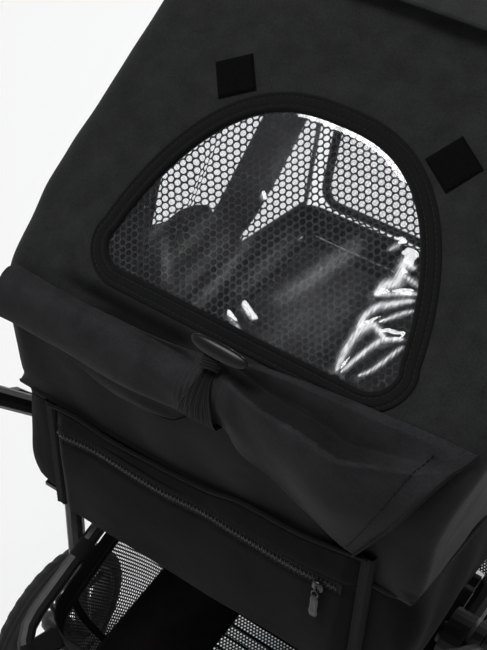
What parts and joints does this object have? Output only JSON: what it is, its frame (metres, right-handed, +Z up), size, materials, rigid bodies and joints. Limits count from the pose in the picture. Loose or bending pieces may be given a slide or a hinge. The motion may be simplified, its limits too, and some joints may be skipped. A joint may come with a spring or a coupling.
{
  "type": "pet stroller",
  "caption": "Folding pet stroller with a fabric cabin, a zipped mesh door, a rear hood window, a lower basket and swivel front casters.",
  "frame": {"origin": "centre of the bounding box's base, on the ground midway between the wheels", "axes": "+Z up; the stroller travels towards -Y, the handle is at +Y, and X = 0 is the mirror plane"},
  "size_m": [0.53, 0.865, 0.9946],
  "materials": {
    "black_steel": "satin",
    "black_plastic": "matte",
    "black_fabric": "woven",
    "black_mesh": "mesh",
    "clear_film": "clear gloss",
    "grip_foam": "matte",
    "tyre": "matte",
    "cushion_fabric": "woven",
    "zip_metal": "gloss",
    "toggle_plastic": "gloss"
  },
  "bodies": {
    "frame": {"left_side_rail": "black_steel", "right_side_rail": "black_steel", "front_crossbar": "black_steel", "rear_crossbar": "black_steel", "left_hinge_pin": "black_steel", "right_hinge_pin": "black_steel", "basket_rail": "black_steel", "basket": "black_mesh", "left_caster_housing": "black_plastic", "right_caster_housing": "black_plastic", "floor_board": "black_plastic", "cushion": "cushion_fabric", "cabin_tub": "black_fabric", "rear_hood": "black_fabric", "window_mesh": "black_mesh", "window_film": "clear_film", "window_binding": "black_fabric", "top_bow": "black_steel", "left_side_mesh": "black_mesh", "right_side_mesh": "black_mesh", "left_canopy_rivet": "black_steel", "right_canopy_rivet": "black_steel", "left_canopy_bracket": "black_plastic", "right_canopy_bracket": "black_plastic", "window_flap": "black_fabric", "flap_toggle": "toggle_plastic", "flap_elastic": "black_fabric", "left_hook_patch": "black_fabric", "right_hook_patch": "black_fabric", "rear_pocket": "black_fabric", "pocket_zip": "black_fabric"},
    "handle": {"left_handle_tube": "black_steel", "right_handle_tube": "black_steel", "handle_crossbar": "black_steel", "handle_grip": "grip_foam"},
    "rear_legs": {"left_rear_leg": "black_steel", "right_rear_leg": "black_steel", "leg_crossbar": "black_steel", "left_rear_axle": "black_steel", "right_rear_axle": "black_steel"},
    "canopy": {"canopy": "black_fabric", "canopy_bow": "black_steel"},
    "front_door": {"door_border": "black_fabric", "door_mesh": "black_mesh"},
    "zip_slider": {"zip_slider": "zip_metal"},
    "left_rear_wheel": {"left_rear_wheel": "black_plastic", "left_rear_tyre": "tyre"},
    "left_front_wheel": {"left_front_wheel": "black_plastic", "left_front_tyre": "tyre"},
    "left_caster": {"left_caster_fork": "black_plastic"},
    "left_brake_pedal": {"left_brake_pedal": "black_plastic"},
    "left_fold_latch": {"left_fold_latch": "black_plastic"},
    "right_rear_wheel": {"right_rear_wheel": "black_plastic", "right_rear_tyre": "tyre"},
    "right_front_wheel": {"right_front_wheel": "black_plastic", "right_front_tyre": "tyre"},
    "right_caster": {"right_caster_fork": "black_plastic"},
    "right_brake_pedal": {"right_brake_pedal": "black_plastic"},
    "right_fold_latch": {"right_fold_latch": "black_plastic"}
  },
  "joints": [
    {"name": "handle_fold", "type": "hinge", "parent": "frame", "child": "handle", "pos_m": [0, -0.0075, 0.466], "axis": [1, 0, 0], "range_deg": [0, 95]},
    {"name": "leg_fold", "type": "hinge", "parent": "frame", "child": "rear_legs", "pos_m": [0, -0.0075, 0.466], "axis": [1, 0, 0], "range_deg": [-75, 0]},
    {"name": "canopy_fold", "type": "hinge", "parent": "frame", "child": "canopy", "pos_m": [0, -0.1625, 0.495], "axis": [-1, 0, 0], "range_deg": [0, 36]},
    {"name": "door_open", "type": "hinge", "parent": "frame", "child": "front_door", "pos_m": [0, -0.3495, 0.511], "axis": [1, 0, 0], "range_deg": [0, 120]},
    {"name": "zip_slide", "type": "slide", "parent": "frame", "child": "zip_slider", "axis": [1, 0, 0], "range_m": [0, 0.23]},
    {"name": "left_rear_wheel_spin", "type": "hinge", "parent": "rear_legs", "child": "left_rear_wheel", "pos_m": [0.245, 0.0025, 0.1], "axis": [1, 0, 0], "continuous": true},
    {"name": "left_caster_swivel", "type": "hinge", "parent": "frame", "child": "left_caster", "pos_m": [0.186, -0.3825, 0.2], "axis": [0, 0, 1], "continuous": true},
    {"name": "left_front_wheel_spin", "type": "hinge", "parent": "left_caster", "child": "left_front_wheel", "pos_m": [0.186, -0.3525, 0.08], "axis": [1, 0, 0], "continuous": true},
    {"name": "left_brake_press", "type": "hinge", "parent": "rear_legs", "child": "left_brake_pedal", "pos_m": [0.207, 0.0335, 0.116], "axis": [-1, 0, 0], "range_deg": [0, 22]},
    {"name": "left_latch_lift", "type": "hinge", "parent": "handle", "child": "left_fold_latch", "pos_m": [0.219, 0.03201, 0.51378], "axis": [1, 0, 0], "range_deg": [0, 35]},
    {"name": "right_rear_wheel_spin", "type": "hinge", "parent": "rear_legs", "child": "right_rear_wheel", "pos_m": [-0.245, 0.0025, 0.1], "axis": [1, 0, 0], "continuous": true},
    {"name": "right_caster_swivel", "type": "hinge", "parent": "frame", "child": "right_caster", "pos_m": [-0.186, -0.3825, 0.2], "axis": [0, 0, 1], "continuous": true},
    {"name": "right_front_wheel_spin", "type": "hinge", "parent": "right_caster", "child": "right_front_wheel", "pos_m": [-0.186, -0.3525, 0.08], "axis": [1, 0, 0], "continuous": true},
    {"name": "right_brake_press", "type": "hinge", "parent": "rear_legs", "child": "right_brake_pedal", "pos_m": [-0.207, 0.0335, 0.116], "axis": [-1, 0, 0], "range_deg": [0, 22]},
    {"name": "right_latch_lift", "type": "hinge", "parent": "handle", "child": "right_fold_latch", "pos_m": [-0.219, 0.03201, 0.51378], "axis": [1, 0, 0], "range_deg": [0, 35]}
  ],
  "couplings": [
    {"joint": "leg_fold", "follows": "handle_fold", "ratio": -0.78}
  ]
}
